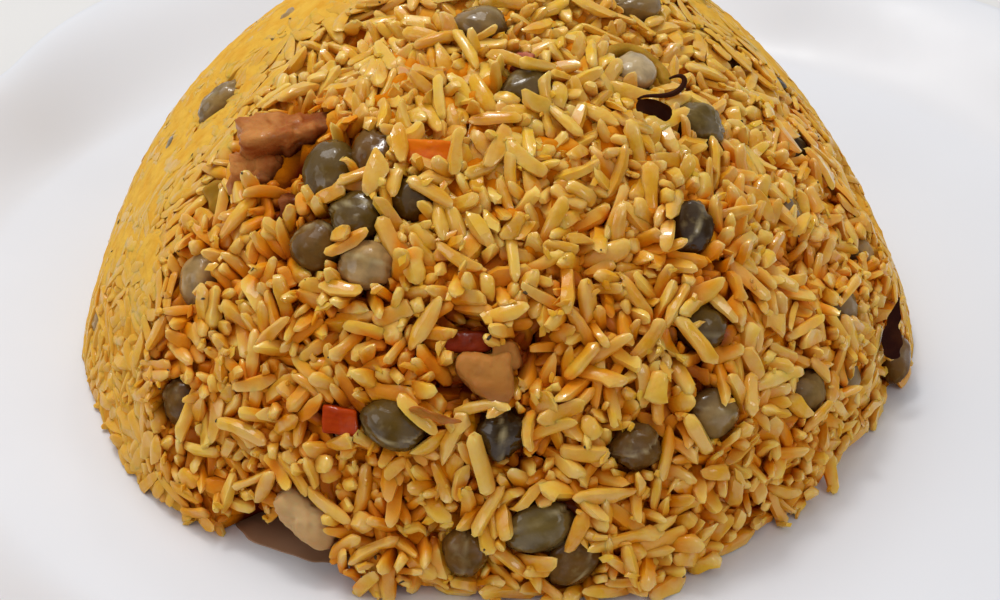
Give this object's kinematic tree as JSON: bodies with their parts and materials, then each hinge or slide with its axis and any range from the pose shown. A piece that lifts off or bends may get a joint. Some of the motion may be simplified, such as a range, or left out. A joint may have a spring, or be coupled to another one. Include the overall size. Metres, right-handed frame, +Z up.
{
  "type": "rice and beans plate",
  "caption": "Moulded dome of yellow rice with pigeon peas, ham, pork, carrot, olive and herb leaf, on a white scalloped dinner plate.",
  "frame": {"origin": "middle of the plate's foot ring, on the surface that the plate stands on", "axes": "+X to the diner's right, +Y away from the diner across the plate, +Z up"},
  "size_m": [0.253, 0.253, 0.0654],
  "materials": {
    "plate": "smooth white glaze",
    "rice": "moist, oiled, slightly translucent boiled rice",
    "pigeon_pea": "wet wrinkled seed skin",
    "ham": "moist cooked meat with a fine fibre",
    "pork": "moist pale meat and fat",
    "carrot": "moist cut vegetable",
    "pimiento": "soft wet pepper flesh",
    "green_vegetable": "wet translucent flesh",
    "leaf": "limp cooked leaf",
    "onion": "thin translucent strip"
  },
  "bodies": {
    "root": {"plate": "plate", "rice_heap": "rice", "pigeon_pea_01": "pigeon_pea", "pigeon_pea_02": "pigeon_pea", "pigeon_pea_03": "pigeon_pea", "pigeon_pea_04": "pigeon_pea", "pigeon_pea_05": "pigeon_pea", "pigeon_pea_06": "pigeon_pea", "pigeon_pea_07": "pigeon_pea", "pigeon_pea_08": "pigeon_pea", "pigeon_pea_09": "pigeon_pea", "pigeon_pea_10": "pigeon_pea", "pigeon_pea_11": "pigeon_pea", "pigeon_pea_12": "pigeon_pea", "pigeon_pea_13": "pigeon_pea", "pigeon_pea_14": "pigeon_pea", "pigeon_pea_15": "pigeon_pea", "pigeon_pea_16": "pigeon_pea", "pigeon_pea_17": "pigeon_pea", "pigeon_pea_18": "pigeon_pea", "pigeon_pea_19": "pigeon_pea", "pigeon_pea_20": "pigeon_pea", "pigeon_pea_21": "pigeon_pea", "pigeon_pea_22": "pigeon_pea", "pigeon_pea_23": "pigeon_pea", "pigeon_pea_24": "pigeon_pea", "pigeon_pea_25": "pigeon_pea", "pigeon_pea_26": "pigeon_pea", "pigeon_pea_27": "pigeon_pea", "pigeon_pea_28": "pigeon_pea", "pigeon_pea_29": "pigeon_pea", "pigeon_pea_30": "pigeon_pea", "pigeon_pea_31": "pigeon_pea", "pigeon_pea_32": "pigeon_pea", "pigeon_pea_33": "pigeon_pea", "pigeon_pea_34": "pigeon_pea", "pigeon_pea_35": "pigeon_pea", "pigeon_pea_36": "pigeon_pea", "pigeon_pea_37": "pigeon_pea", "pigeon_pea_38": "pigeon_pea", "pigeon_pea_39": "pigeon_pea", "pigeon_pea_40": "pigeon_pea", "pigeon_pea_41": "pigeon_pea", "pigeon_pea_42": "pigeon_pea", "pigeon_pea_43": "pigeon_pea", "ham_large": "ham", "ham_small": "ham", "ham_pink": "ham", "pork": "pork", "pork_fat": "pork", "carrot_front": "carrot", "carrot_top": "carrot", "pimiento": "pimiento", "green_pepper": "green_vegetable", "olive_slice": "green_vegetable", "leaf_curled": "leaf", "leaf_purple": "leaf", "leaf_small": "leaf", "onion_thread": "onion"}
  },
  "joints": []
}
